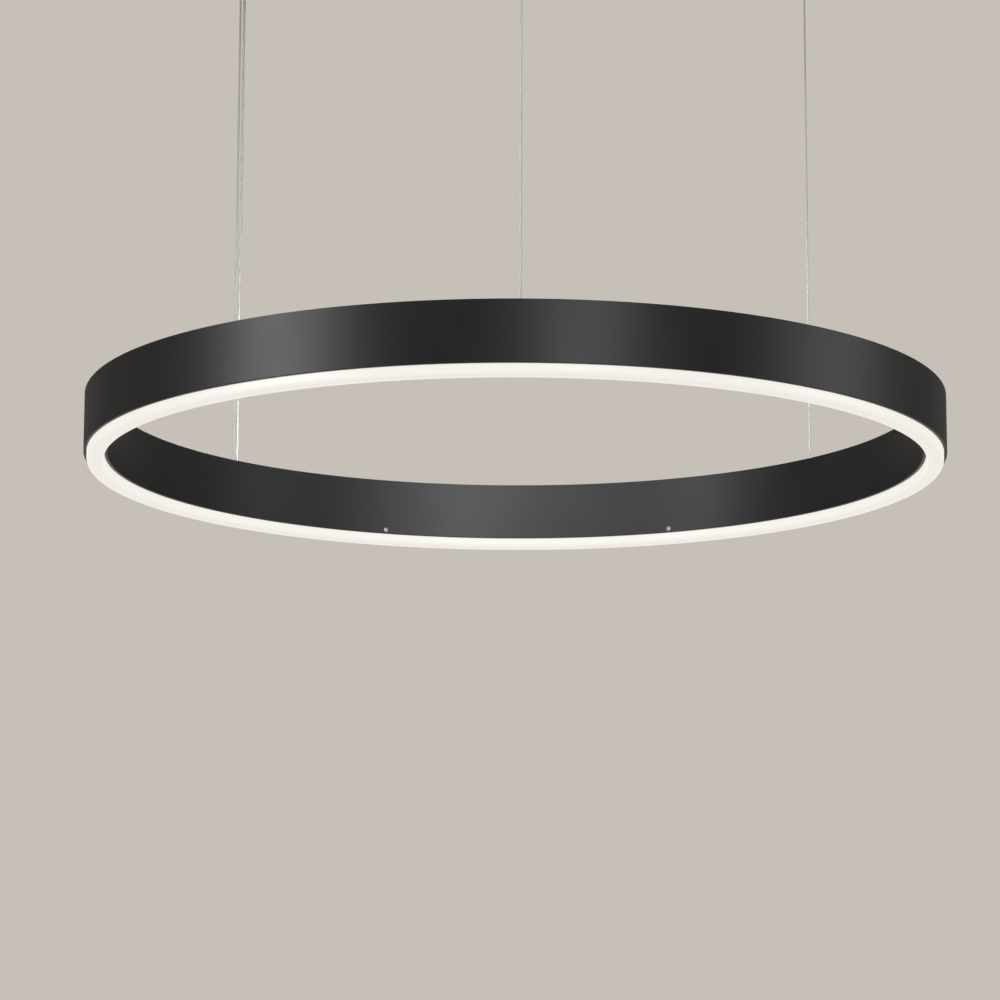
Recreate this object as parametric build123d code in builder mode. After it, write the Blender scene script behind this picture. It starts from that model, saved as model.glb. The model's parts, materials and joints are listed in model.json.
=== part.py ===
from build123d import *
import math
import os

os.makedirs("parts", exist_ok=True)

# ------------------------------------------------------------------ driving dimensions, in mm
# Origin: on the ceiling plane, on the ring's vertical axis. +Z is up, so everything hangs below.
RING_RADIUS = 400          # outside of the black housing
PROFILE_WIDTH = 22         # radial width of the housing
HOUSING_HEIGHT = 55
RING_DROP = 570            # ceiling to the top of the ring, as hung
DIFFUSER_DROP = 9.5        # the opal cover stands this far below the housing

# The three hanging points: degrees from +X, with +Y away from the viewer.
ANCHORS = {"front": -89.35, "right": 41.1, "left": 136.3}
POWERED = "left"           # the feed cord runs down beside this cable

CABLE_RADIUS = 1.0         # 7 x 7 stainless cable
CABLE_TOP = -0.6           # the cut upper ends, just under the ceiling
CORD_RADIUS = 1.4          # clear two-core feed cord
CORD_OFFSET = (3.3, 7.8)   # from the powered cable, in X and Y

# ------------------------------------------------------------------ the rolled profile's section
WALL = 1.8
FOOT = 2.8                 # the walls' lower edges are thicker, to grip the diffuser
FOOT_HEIGHT = 8
WEB = 2
LED_WEB_HEIGHT = 15        # underside of the web that carries the LED tape
CHANNEL_DEPTH = 12.5       # open channel on top, for the hanging fittings
COVER_THICKNESS = 2
LEDGE = 1.2                # the cover strip rests on these
GAP = 0.2

RING_TOP = -RING_DROP
RING_BOTTOM = RING_TOP - HOUSING_HEIGHT
MID_RADIUS = RING_RADIUS - PROFILE_WIDTH / 2
INNER_RADIUS = RING_RADIUS - PROFILE_WIDTH
CHANNEL_FLOOR = RING_TOP - CHANNEL_DEPTH
LED_WEB_UNDER = RING_BOTTOM + LED_WEB_HEIGHT
LED_WEB_TOP = LED_WEB_UNDER + WEB
CORD_HOLE_RADIUS = 2.6

# ------------------------------------------------------------------ small parts
DIFFUSER_WALL = 1.6
DIFFUSER_FLOOR = 2.2
DIFFUSER_LEG = 9.4         # how far its legs reach up between the feet
DIFFUSER_EDGE = 4          # radius of its lower edges
SCREW_AZIMUTHS = (65.7, 110.3, -114.3, -69.7)   # diffuser screws, in two opposite pairs
SCREW_HEIGHT = 3.4         # above the housing's lower edge
DIFFUSER_SCREW = 1.2       # radius of its shank
DIFFUSER_HEAD = (2.5, 1.5)         # radius, height
DIFFUSER_SLOT = (3, 0.6, 0.7)      # length, width and depth of the cross
BARB = 0.7
LED_COUNT = 120
CHIP_SIZE = (3.5, 2.8, 0.8)
TAPE_WIDTH = 10
TAPE_THICKNESS = 0.4

BLOCK_LENGTH, BLOCK_WIDTH, BLOCK_HEIGHT = 36, 15, 8
BLOCK_SCREW_OFFSET = 14.2
M4_SHANK, M4_TAPPED, M4_CLEAR = 1.98, 2.05, 2.15
M4_HEAD = (3.5, 2.1)               # radius, height
M4_SOCKET = (1.6, 1.3)             # hexagon radius, depth
SCREW_STANDS_OUT = 1.5             # below the web it is screwed into
NIPPLE_RADIUS = 3.95
NIPPLE_FLANGE = (4.6, 1.2)         # radius, thickness
NIPPLE_END = RING_TOP - 8.5        # lower end of its shank
STUB_ABOVE = 0.3                   # of the cable, above its flange
END_BALL_RADIUS = 1.9
CABLE_BORE = CABLE_RADIUS + 0.2
PLAY = 0.05                        # between pieces that touch but do not move together

GRIPPER_RADIUS = 5
GRIPPER_LENGTH = 34
BALL_RADIUS = 0.88
BALL_RING_RADIUS = CABLE_RADIUS + BALL_RADIUS + PLAY

PUCK_RADIUS, PUCK_HEIGHT = 23.5, 6
PUCK_HOLE_SPACING = 32
CUP_RADIUS, CUP_HEIGHT, CUP_WALL = 25, 30, 1.2
CANOPY_RADIUS, CANOPY_HEIGHT, CANOPY_WALL = 90, 45, 1.5
CANOPY_HOLE_SPACING = 120
COVER_CLEARANCE = 0.3              # between the covers and the ceiling
FIXING_HOLE_RADIUS = 2.25
COUNTERSINK_RADIUS = 4.3
STUD_HOLE_RADIUS = 3               # in the pucks and the canopy's pan
GRUB_RADIUS, GRUB_SOCKET = 1.5, (0.8, 0.9)
CUP_EDGE = 3
MAINS_HOLE_RADIUS = 8
STUD_GAP = 1.5                     # flange between a gripper and what it screws into
STANDOFF_LENGTH = 26.5
STANDOFF_BORE = CABLE_BORE + 0.1
STUD_SOCKET_DEPTH = 6              # threaded, in the standoff's lower end
PAN_RIM = 12
PAN_CLEARANCE = 0.4                # round the pan, inside the cover
CANOPY_EDGE = 5
MAINS_HOLE_OFFSET = 50
SIDE_SCREW_AZIMUTHS = (30, 150, 270)
SIDE_SCREW_HEIGHT = -6
SIDE_SCREW_RADIUS, SIDE_SCREW_HEAD = 1.5, (2.8, 1.6)
SIDE_SCREW_SOCKET = (1.2, 1)

DRIVER_SIZE = (100, 38, 24)
DRIVER_OFFSET = (0, -31)           # from the canopy's centre
DRIVER_TAB = (12, 16, 3)           # length beyond the case, width, thickness
DRIVER_TAB_HOLE = 1.8
DRIVER_SCREW_HEAD = (3, 2)         # radius, height
LEAD_RADIUS = 1.6
TERMINAL_SIZE = (24, 16, 14)
TERMINAL_OFFSET = (3.3, 14.5)
TERMINAL_SCREWS = (2, 3, 7)        # radius, depth and spacing of its screw wells


def spot(azimuth, radius=MID_RADIUS):
    """X and Y of the point at that azimuth and radius."""
    turn = math.radians(azimuth)
    return radius * math.cos(turn), radius * math.sin(turn)


def upright(x, y, z, azimuth=0):
    """A plane for a turned outline: local x is the radius, local y is up."""
    turn = math.radians(azimuth)
    outward = (math.cos(turn), math.sin(turn), 0)
    across = (math.sin(turn), -math.cos(turn), 0)
    return Plane(origin=(x, y, z), x_dir=outward, z_dir=across)


def level(x, y, z, azimuth=0):
    """A level plane: local x points outward along the azimuth, and z is up."""
    turn = math.radians(azimuth)
    return Plane(origin=(x, y, z), x_dir=(math.cos(turn), math.sin(turn), 0), z_dir=(0, 0, 1))


def upright_axis(plane):
    return Axis(plane.origin, (0, 0, 1))


# Where each gripper's barrel starts: under a puck, or under the canopy's standoff.
GRIPPER_TOP = {
    side: -PUCK_HEIGHT - STUD_GAP if side != POWERED else -CANOPY_WALL - STANDOFF_LENGTH - STUD_GAP
    for side in ANCHORS
}
CORD_SPOT = (
    spot(ANCHORS[POWERED])[0] + CORD_OFFSET[0],
    spot(ANCHORS[POWERED])[1] + CORD_OFFSET[1],
)

# ================================================================== the ring
# The housing: one extrusion, rolled to a ring. Two walls, a web for the LED tape, a web that
# carries the hanging fittings, and a closed wiring chamber between the webs.
with BuildPart() as ring_housing:
    with BuildSketch(Plane.XZ) as section:
        with Locations((MID_RADIUS, (RING_TOP + RING_BOTTOM) / 2)):
            Rectangle(PROFILE_WIDTH, HOUSING_HEIGHT)
        chamfer(section.vertices(), 0.4)
        inside = PROFILE_WIDTH - 2 * WALL
        chamber_height = CHANNEL_FLOOR - WEB - LED_WEB_TOP
        with Locations((MID_RADIUS, RING_BOTTOM)):
            Rectangle(PROFILE_WIDTH - 2 * FOOT, 2 * FOOT_HEIGHT, mode=Mode.SUBTRACT)
        with Locations((MID_RADIUS, (RING_BOTTOM + FOOT_HEIGHT + LED_WEB_UNDER) / 2)):
            Rectangle(inside, LED_WEB_HEIGHT - FOOT_HEIGHT, mode=Mode.SUBTRACT)
        with Locations((MID_RADIUS, LED_WEB_TOP + chamber_height / 2)):
            Rectangle(inside, chamber_height, mode=Mode.SUBTRACT)
        with Locations((MID_RADIUS, RING_TOP)):
            Rectangle(inside, 2 * COVER_THICKNESS, mode=Mode.SUBTRACT)
            Rectangle(inside - 2 * LEDGE, 2 * (COVER_THICKNESS + LEDGE), mode=Mode.SUBTRACT)
        channel = CHANNEL_DEPTH - COVER_THICKNESS - LEDGE
        with Locations((MID_RADIUS, CHANNEL_FLOOR + channel / 2)):
            Rectangle(inside, channel, mode=Mode.SUBTRACT)
    revolve(axis=Axis.Z)
    # threaded holes for the anchor blocks' screws
    for azimuth in ANCHORS.values():
        with BuildSketch(level(*spot(azimuth), CHANNEL_FLOOR, azimuth)):
            with Locations((0, BLOCK_SCREW_OFFSET), (0, -BLOCK_SCREW_OFFSET)):
                Circle(M4_TAPPED)
        extrude(amount=-WEB, mode=Mode.SUBTRACT)
    # the feed cord's way down through both webs
    with BuildSketch(Plane.XY.offset(CHANNEL_FLOOR)):
        with Locations(CORD_SPOT):
            Circle(CORD_HOLE_RADIUS)
    extrude(amount=LED_WEB_UNDER - CHANNEL_FLOOR, mode=Mode.SUBTRACT)
    # holes for the diffuser's screws, through the inner foot
    for azimuth in SCREW_AZIMUTHS:
        outward = (*spot(azimuth, 1), 0)
        start = (*spot(azimuth, INNER_RADIUS - 1), RING_BOTTOM + SCREW_HEIGHT)
        with BuildSketch(Plane(origin=start, z_dir=outward)):
            Circle(DIFFUSER_SCREW + PLAY)
        extrude(amount=FOOT + 2, mode=Mode.SUBTRACT)
ring_housing.part.label = "ring_housing"
export_step(ring_housing.part, "parts/ring_housing.step")

# The strip that closes the top channel, flush between the walls.
with BuildPart() as top_cover:
    with BuildSketch(Plane.XY.offset(RING_TOP - COVER_THICKNESS)):
        Circle(RING_RADIUS - WALL - GAP)
        Circle(INNER_RADIUS + WALL + GAP, mode=Mode.SUBTRACT)
        with Locations([spot(azimuth) for azimuth in ANCHORS.values()]):
            Circle(NIPPLE_RADIUS + GAP, mode=Mode.SUBTRACT)
        with Locations(CORD_SPOT):
            Circle(CORD_HOLE_RADIUS, mode=Mode.SUBTRACT)
    extrude(amount=COVER_THICKNESS)
top_cover.part.label = "top_cover"
export_step(top_cover.part, "parts/top_cover.step")

# The opal cover: a U that stands below the housing, with barbs that snap over the feet.
with BuildPart() as diffuser:
    with BuildSketch(Plane.XZ) as section:
        width = PROFILE_WIDTH - 2 * FOOT - 2 * GAP
        height = DIFFUSER_DROP + DIFFUSER_LEG
        bottom = RING_BOTTOM - DIFFUSER_DROP
        with Locations((MID_RADIUS, bottom + height / 2)):
            Rectangle(width, height)
        fillet(section.vertices().group_by(Axis.Y)[0], DIFFUSER_EDGE)
        with BuildSketch(mode=Mode.PRIVATE) as hollow:
            with Locations((MID_RADIUS, bottom + DIFFUSER_FLOOR + height / 2)):
                Rectangle(width - 2 * DIFFUSER_WALL, height)
            fillet(hollow.vertices().group_by(Axis.Y)[0], DIFFUSER_EDGE - DIFFUSER_WALL)
        add(hollow.sketch, mode=Mode.SUBTRACT)
        barb_foot = RING_BOTTOM + FOOT_HEIGHT + GAP
        for side in (-1, 1):
            edge = MID_RADIUS + side * width / 2
            with BuildLine():
                Polyline(
                    (edge, barb_foot),
                    (edge + side * BARB, barb_foot),
                    (edge, bottom + height),
                    close=True,
                )
            make_face()
    revolve(axis=Axis.Z)
    for azimuth in SCREW_AZIMUTHS:
        outward = (*spot(azimuth, 1), 0)
        start = (*spot(azimuth, INNER_RADIUS + FOOT - 1), RING_BOTTOM + SCREW_HEIGHT)
        with BuildSketch(Plane(origin=start, z_dir=outward)):
            Circle(DIFFUSER_SCREW + 2 * PLAY)
        extrude(amount=DIFFUSER_WALL + 3, mode=Mode.SUBTRACT)
diffuser.part.label = "diffuser"
export_step(diffuser.part, "parts/diffuser.step")

# Four pan-head screws hold the diffuser's inner leg.
with BuildPart() as diffuser_screws:
    head_radius, head_height = DIFFUSER_HEAD
    slot_length, slot_width, slot_depth = DIFFUSER_SLOT
    for azimuth in SCREW_AZIMUTHS:
        centre = (*spot(azimuth, INNER_RADIUS), RING_BOTTOM + SCREW_HEIGHT)
        # the flat head just clears the curved wall
        plane = Plane(origin=centre, z_dir=(*spot(azimuth, 1), 0)).offset(-0.02)
        with BuildSketch(plane):
            Circle(DIFFUSER_SCREW)
        extrude(amount=FOOT + DIFFUSER_WALL + 1)
        with BuildSketch(plane):
            Circle(head_radius)
        extrude(amount=-head_height)
        with BuildSketch(plane.offset(-head_height)):
            Rectangle(slot_length, slot_width)
            Rectangle(slot_width, slot_length)
        extrude(amount=slot_depth, mode=Mode.SUBTRACT)
diffuser_screws.part.label = "diffuser_screws"
export_step(diffuser_screws.part, "parts/diffuser_screws.step")

# The LED tape and its chips, under the lower web.
with BuildPart() as led_tape:
    with BuildSketch(Plane.XY.offset(LED_WEB_UNDER)):
        Circle(MID_RADIUS + TAPE_WIDTH / 2)
        Circle(MID_RADIUS - TAPE_WIDTH / 2, mode=Mode.SUBTRACT)
    extrude(amount=-TAPE_THICKNESS)
led_tape.part.label = "led_tape"
export_step(led_tape.part, "parts/led_tape.step")

with BuildPart(Plane.XY.offset(LED_WEB_UNDER - TAPE_THICKNESS)) as led_chips:
    with PolarLocations(MID_RADIUS, LED_COUNT):
        Box(*CHIP_SIZE, align=(Align.CENTER, Align.CENTER, Align.MAX))
led_chips.part.label = "led_chips"
export_step(led_chips.part, "parts/led_chips.step")

# The ring end of each cable: a block in the channel, a flush nipple and the cable's end ball.
for side, azimuth in ANCHORS.items():
    x, y = spot(azimuth)
    with BuildPart() as anchor_block:
        with BuildSketch(level(x, y, CHANNEL_FLOOR, azimuth)):
            RectangleRounded(BLOCK_WIDTH, BLOCK_LENGTH, 2)
            Circle(NIPPLE_RADIUS + PLAY, mode=Mode.SUBTRACT)
            with Locations((0, BLOCK_SCREW_OFFSET), (0, -BLOCK_SCREW_OFFSET)):
                Circle(M4_CLEAR, mode=Mode.SUBTRACT)
        extrude(amount=BLOCK_HEIGHT)
        if side == POWERED:
            with BuildSketch(Plane.XY.offset(CHANNEL_FLOOR)):
                with Locations(CORD_SPOT):
                    Circle(CORD_HOLE_RADIUS)
            extrude(amount=BLOCK_HEIGHT, mode=Mode.SUBTRACT)
    anchor_block.part.label = f"anchor_block_{side}"
    export_step(anchor_block.part, f"parts/anchor_block_{side}.step")

    shank_plane = upright(x, y, RING_TOP, azimuth)
    flange_radius, flange_height = NIPPLE_FLANGE
    shank_end = NIPPLE_END - RING_TOP
    with BuildPart() as cable_nipple:
        with BuildSketch(shank_plane):
            with BuildLine():
                Polyline(
                    (CABLE_BORE, shank_end),
                    (NIPPLE_RADIUS, shank_end),
                    (NIPPLE_RADIUS, 0),
                    (flange_radius, 0),
                    (flange_radius, flange_height - 0.5),
                    (flange_radius - 0.5, flange_height),
                    (CABLE_BORE, flange_height),
                    close=True,
                )
            make_face()
        revolve(axis=upright_axis(shank_plane))
    cable_nipple.part.label = f"cable_nipple_{side}"
    export_step(cable_nipple.part, f"parts/cable_nipple_{side}.step")

    # The ball is pulled up against the nipple's bore.
    seat = math.sqrt(END_BALL_RADIUS**2 - CABLE_BORE**2) + PLAY
    ball_centre = shank_end - seat
    stub_top = flange_height + STUB_ABOVE
    with BuildPart() as cable_end:
        with BuildSketch(shank_plane):
            with BuildLine():
                stub_foot = (CABLE_RADIUS, ball_centre + math.sqrt(END_BALL_RADIUS**2 - CABLE_RADIUS**2))
                Polyline((0, ball_centre - END_BALL_RADIUS), (0, stub_top), (CABLE_RADIUS, stub_top), stub_foot)
                ThreePointArc(
                    stub_foot,
                    (END_BALL_RADIUS, ball_centre),
                    (0, ball_centre - END_BALL_RADIUS),
                )
            make_face()
        revolve(axis=upright_axis(shank_plane))
    cable_end.part.label = f"cable_end_{side}"
    export_step(cable_end.part, f"parts/cable_end_{side}.step")

with BuildPart() as anchor_screws:
    head_radius, head_height = M4_HEAD
    socket_radius, socket_depth = M4_SOCKET
    for azimuth in ANCHORS.values():
        base = level(*spot(azimuth), CHANNEL_FLOOR + BLOCK_HEIGHT, azimuth)
        seats = ((0, BLOCK_SCREW_OFFSET), (0, -BLOCK_SCREW_OFFSET))
        with BuildSketch(base):
            with Locations(*seats):
                Circle(head_radius)
        extrude(amount=head_height)
        with BuildSketch(base):
            with Locations(*seats):
                Circle(M4_SHANK)
        extrude(amount=-BLOCK_HEIGHT - WEB - SCREW_STANDS_OUT)
        with BuildSketch(base.offset(head_height)):
            with Locations(*seats):
                RegularPolygon(socket_radius, 6)
        extrude(amount=-socket_depth, mode=Mode.SUBTRACT)
anchor_screws.part.label = "anchor_screws"
export_step(anchor_screws.part, "parts/anchor_screws.step")

GROMMET_COLLAR = 1.2               # height above the skin it sits in
# Where the feed cord goes in: a grommet in the cover strip, the cord's tail and its terminal.
cord_plane = upright(*CORD_SPOT, RING_TOP)
with BuildPart() as feed_grommet:
    with BuildSketch(cord_plane):
        with BuildLine():
            Polyline(
                (CORD_RADIUS, -COVER_THICKNESS - 1),
                (CORD_HOLE_RADIUS + 0.6, -COVER_THICKNESS - 1),
                (CORD_HOLE_RADIUS + 0.6, -COVER_THICKNESS),
                (CORD_HOLE_RADIUS, -COVER_THICKNESS),
                (CORD_HOLE_RADIUS, 0),
                (CORD_HOLE_RADIUS + 0.8, 0),
                (CORD_HOLE_RADIUS + 0.4, GROMMET_COLLAR),
                (CORD_RADIUS, GROMMET_COLLAR),
                close=True,
            )
        make_face()
    revolve(axis=upright_axis(cord_plane))
feed_grommet.part.label = "feed_grommet"
export_step(feed_grommet.part, "parts/feed_grommet.step")

RING_TERMINAL_SIZE = (9, 16, 12)
TERMINAL_PIN = (0.7, 1)            # radius, distance from the middle
TAIL_ABOVE = 1.5                   # of the cord, above the ring
with BuildPart() as feed_tail:
    tail_foot = LED_WEB_TOP + RING_TERMINAL_SIZE[2]
    with BuildSketch(Plane.XY.offset(tail_foot)):
        with Locations(CORD_SPOT):
            Circle(CORD_RADIUS)
    extrude(amount=RING_TOP + TAIL_ABOVE - tail_foot)
feed_tail.part.label = "feed_tail"
export_step(feed_tail.part, "parts/feed_tail.step")

with BuildPart() as ring_terminal:
    depth, length, height = RING_TERMINAL_SIZE
    pin_radius, pin_offset = TERMINAL_PIN
    with BuildSketch(level(*CORD_SPOT, LED_WEB_TOP, ANCHORS[POWERED])):
        RectangleRounded(depth, length, 1)
    extrude(amount=height)
    with BuildSketch(level(*CORD_SPOT, LED_WEB_TOP, ANCHORS[POWERED])):
        with Locations((0, pin_offset), (0, -pin_offset)):
            Circle(pin_radius)
    extrude(amount=-WEB)
ring_terminal.part.label = "ring_terminal"
export_step(ring_terminal.part, "parts/ring_terminal.step")

# ================================================================== the cables and the feed cord
for side, azimuth in ANCHORS.items():
    cable_foot = RING_TOP + NIPPLE_FLANGE[1] + STUB_ABOVE + PLAY
    with BuildPart() as suspension_cable:
        with BuildSketch(Plane.XY.offset(cable_foot)):
            with Locations(spot(azimuth)):
                Circle(CABLE_RADIUS)
        extrude(amount=CABLE_TOP - cable_foot)
    suspension_cable.part.label = f"suspension_cable_{side}"
    export_step(suspension_cable.part, f"parts/suspension_cable_{side}.step")

TERMINAL_UNDER = -CANOPY_WALL - TERMINAL_SIZE[2]
with BuildPart() as feed_cord:
    cord_foot = RING_TOP + TAIL_ABOVE + PLAY
    with BuildSketch(Plane.XY.offset(cord_foot)):
        with Locations(CORD_SPOT):
            Circle(CORD_RADIUS)
    extrude(amount=TERMINAL_UNDER - cord_foot)
feed_cord.part.label = "feed_cord"
export_step(feed_cord.part, "parts/feed_cord.step")

# ================================================================== the cable grippers
# Each barrel has a cone that narrows downwards. The load draws three balls into it, against the
# cable. The nozzle at the bottom lifts them out against a spring, and the cable runs free.
NOZZLE_LENGTH = 7
STUD_RADIUS, STUD_TOP, STUD_CHAMFER = 2.9, 6.5, 0.3
NOZZLE_FLANGE = 1.8
GROOVE_TOP, GROOVE_FOOT, GROOVE_DEPTH = -24, -26, 0.6
CONE_TOP, CONE_FOOT = -15, -23
CONE_WIDE, CONE_NARROW = 3.6, 2.45
PLUG_DEPTH = 5
FLANGE_ROOM_TOP, FLANGE_ROOM_FOOT = -26.5, -33
FLANGE_ROOM_RADIUS = 3.3
LIP_RADIUS = 2.1
BALL_HEIGHT = -20
CAGE_TOP = -17.8
CAGE_RADIUS = 2.35
SPRING_WIRE = 0.22
SPRING_RADIUS = 1.85
SPRING_TURNS = 6

for side, azimuth in ANCHORS.items():
    x, y = spot(azimuth)
    turning = upright(x, y, GRIPPER_TOP[side], azimuth)
    with BuildPart() as gripper_barrel:
        with BuildSketch(turning):
            with BuildLine():
                Polyline(
                    (CONE_WIDE, 0),
                    (GRIPPER_RADIUS - 0.5, 0),
                    (GRIPPER_RADIUS, -0.5),
                    (GRIPPER_RADIUS, GROOVE_TOP),
                    (GRIPPER_RADIUS - GROOVE_DEPTH, GROOVE_TOP - GROOVE_DEPTH),
                    (GRIPPER_RADIUS - GROOVE_DEPTH, GROOVE_FOOT + GROOVE_DEPTH),
                    (GRIPPER_RADIUS, GROOVE_FOOT),
                    (GRIPPER_RADIUS, -GRIPPER_LENGTH + 1),
                    (GRIPPER_RADIUS - 1, -GRIPPER_LENGTH),
                    (LIP_RADIUS, -GRIPPER_LENGTH),
                    (LIP_RADIUS, FLANGE_ROOM_FOOT),
                    (FLANGE_ROOM_RADIUS, FLANGE_ROOM_FOOT),
                    (FLANGE_ROOM_RADIUS, FLANGE_ROOM_TOP),
                    (CONE_NARROW, FLANGE_ROOM_TOP),
                    (CONE_NARROW, CONE_FOOT),
                    (CONE_WIDE, CONE_TOP),
                    close=True,
                )
            make_face()
        revolve(axis=upright_axis(turning))
    gripper_barrel.part.label = f"gripper_barrel_{side}"
    export_step(gripper_barrel.part, f"parts/gripper_barrel_{side}.step")

    # The hollow stud screws the gripper up into its puck or standoff, and holds the spring in.
    with BuildPart() as gripper_stud:
        with BuildSketch(turning):
            with BuildLine():
                Polyline(
                    (CABLE_BORE, -PLUG_DEPTH),
                    (CONE_WIDE, -PLUG_DEPTH),
                    (CONE_WIDE, 0),
                    (GRIPPER_RADIUS, 0),
                    (GRIPPER_RADIUS, STUD_GAP),
                    (STUD_RADIUS, STUD_GAP),
                    (STUD_RADIUS, STUD_TOP - STUD_CHAMFER),
                    (STUD_RADIUS - STUD_CHAMFER, STUD_TOP),
                    (CABLE_BORE, STUD_TOP),
                    close=True,
                )
            make_face()
        revolve(axis=upright_axis(turning))
    gripper_stud.part.label = f"gripper_stud_{side}"
    export_step(gripper_stud.part, f"parts/gripper_stud_{side}.step")

    # The nozzle: a tube with a retaining flange, and three windows in its top for the balls.
    flange_foot = FLANGE_ROOM_FOOT + GAP
    with BuildPart() as gripper_nozzle:
        with BuildSketch(turning):
            with BuildLine():
                Polyline(
                    (CABLE_BORE, -GRIPPER_LENGTH - NOZZLE_LENGTH),
                    (LIP_RADIUS - 0.4, -GRIPPER_LENGTH - NOZZLE_LENGTH),
                    (LIP_RADIUS - 0.1, -GRIPPER_LENGTH - NOZZLE_LENGTH + 0.5),
                    (LIP_RADIUS - 0.1, flange_foot),
                    (FLANGE_ROOM_RADIUS - 0.1, flange_foot),
                    (FLANGE_ROOM_RADIUS - 0.1, flange_foot + NOZZLE_FLANGE),
                    (CAGE_RADIUS, flange_foot + NOZZLE_FLANGE),
                    (CAGE_RADIUS, CAGE_TOP),
                    (CABLE_BORE, CAGE_TOP),
                    close=True,
                )
            make_face()
        revolve(axis=upright_axis(turning))
        window_height = GRIPPER_TOP[side] + BALL_HEIGHT
        for window in (0, 120, 240):
            outward = (*spot(azimuth + window, 1), 0)
            with BuildSketch(Plane(origin=(x, y, window_height), z_dir=outward)):
                Circle(BALL_RADIUS + 0.1)
            extrude(amount=CAGE_RADIUS + 1, mode=Mode.SUBTRACT)
    gripper_nozzle.part.label = f"gripper_nozzle_{side}"
    export_step(gripper_nozzle.part, f"parts/gripper_nozzle_{side}.step")

    with BuildPart(level(x, y, window_height, azimuth)) as gripper_balls:
        with PolarLocations(BALL_RING_RADIUS, 3):
            Sphere(BALL_RADIUS)
    gripper_balls.part.label = f"gripper_balls_{side}"
    export_step(gripper_balls.part, f"parts/gripper_balls_{side}.step")

    spring_foot = CAGE_TOP + SPRING_WIRE + 0.02
    spring_length = -PLUG_DEPTH - CAGE_TOP - 2 * SPRING_WIRE - 0.04
    with BuildPart() as gripper_spring:
        with BuildLine(level(x, y, GRIPPER_TOP[side] + spring_foot)) as coil:
            Helix(spring_length / SPRING_TURNS, spring_length, SPRING_RADIUS)
        with BuildSketch(Plane(origin=coil.line @ 0, z_dir=coil.line % 0)):
            Circle(SPRING_WIRE)
        sweep(path=coil.line)
    gripper_spring.part.label = f"gripper_spring_{side}"
    export_step(gripper_spring.part, f"parts/gripper_spring_{side}.step")

# ================================================================== the plain ceiling points
for side, azimuth in ANCHORS.items():
    if side == POWERED:
        continue
    x, y = spot(azimuth)
    with BuildPart() as ceiling_puck:
        with BuildSketch(Plane.XY.offset(-PUCK_HEIGHT)):
            with Locations((x, y)):
                Circle(PUCK_RADIUS)
                Circle(STUD_HOLE_RADIUS, mode=Mode.SUBTRACT)
        extrude(amount=PUCK_HEIGHT)
        with Locations(Plane(origin=(x, y, -PUCK_HEIGHT), x_dir=(1, 0, 0), z_dir=(0, 0, -1))):
            with Locations((PUCK_HOLE_SPACING / 2, 0), (-PUCK_HOLE_SPACING / 2, 0)):
                CounterSinkHole(FIXING_HOLE_RADIUS, COUNTERSINK_RADIUS, PUCK_HEIGHT)
    ceiling_puck.part.label = f"ceiling_puck_{side}"
    export_step(ceiling_puck.part, f"parts/ceiling_puck_{side}.step")

    # The cup slides up over the puck, round the gripper, and a grub screw holds it.
    turning = upright(x, y, 0, azimuth)
    inner = CUP_RADIUS - CUP_WALL
    grub_height = -PUCK_HEIGHT / 2
    grub_plane = Plane(origin=(*spot(azimuth, MID_RADIUS - inner + 0.2), grub_height), z_dir=(*spot(azimuth, -1), 0))
    with BuildPart() as cup_cover:
        with BuildSketch(turning):
            with BuildLine():
                Polyline(
                    (inner, -COVER_CLEARANCE),
                    (CUP_RADIUS, -COVER_CLEARANCE),
                    (CUP_RADIUS, CUP_EDGE - CUP_HEIGHT),
                )
                RadiusArc((CUP_RADIUS, CUP_EDGE - CUP_HEIGHT), (CUP_RADIUS - CUP_EDGE, -CUP_HEIGHT), CUP_EDGE)
                Polyline(
                    (CUP_RADIUS - CUP_EDGE, -CUP_HEIGHT),
                    (GRIPPER_RADIUS + COVER_CLEARANCE, -CUP_HEIGHT),
                    (GRIPPER_RADIUS + COVER_CLEARANCE, CUP_WALL - CUP_HEIGHT),
                    (CUP_RADIUS - CUP_EDGE, CUP_WALL - CUP_HEIGHT),
                )
                RadiusArc(
                    (CUP_RADIUS - CUP_EDGE, CUP_WALL - CUP_HEIGHT),
                    (inner, CUP_EDGE - CUP_HEIGHT),
                    CUP_WALL - CUP_EDGE,
                )
                Line((inner, CUP_EDGE - CUP_HEIGHT), (inner, -COVER_CLEARANCE))
            make_face()
        revolve(axis=upright_axis(turning))
        with BuildSketch(grub_plane):
            Circle(GRUB_RADIUS)
        extrude(amount=CUP_WALL + 1, mode=Mode.SUBTRACT)
    cup_cover.part.label = f"cup_cover_{side}"
    export_step(cup_cover.part, f"parts/cup_cover_{side}.step")

    with BuildPart() as cup_grub:
        with BuildSketch(grub_plane):
            Circle(GRUB_RADIUS)
        extrude(amount=CUP_WALL - 0.1)
        with BuildSketch(grub_plane.offset(CUP_WALL - 0.1)):
            RegularPolygon(GRUB_SOCKET[0], 6)
        extrude(amount=-GRUB_SOCKET[1], mode=Mode.SUBTRACT)
    cup_grub.part.label = f"cup_grub_{side}"
    export_step(cup_grub.part, f"parts/cup_grub_{side}.step")

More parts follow.
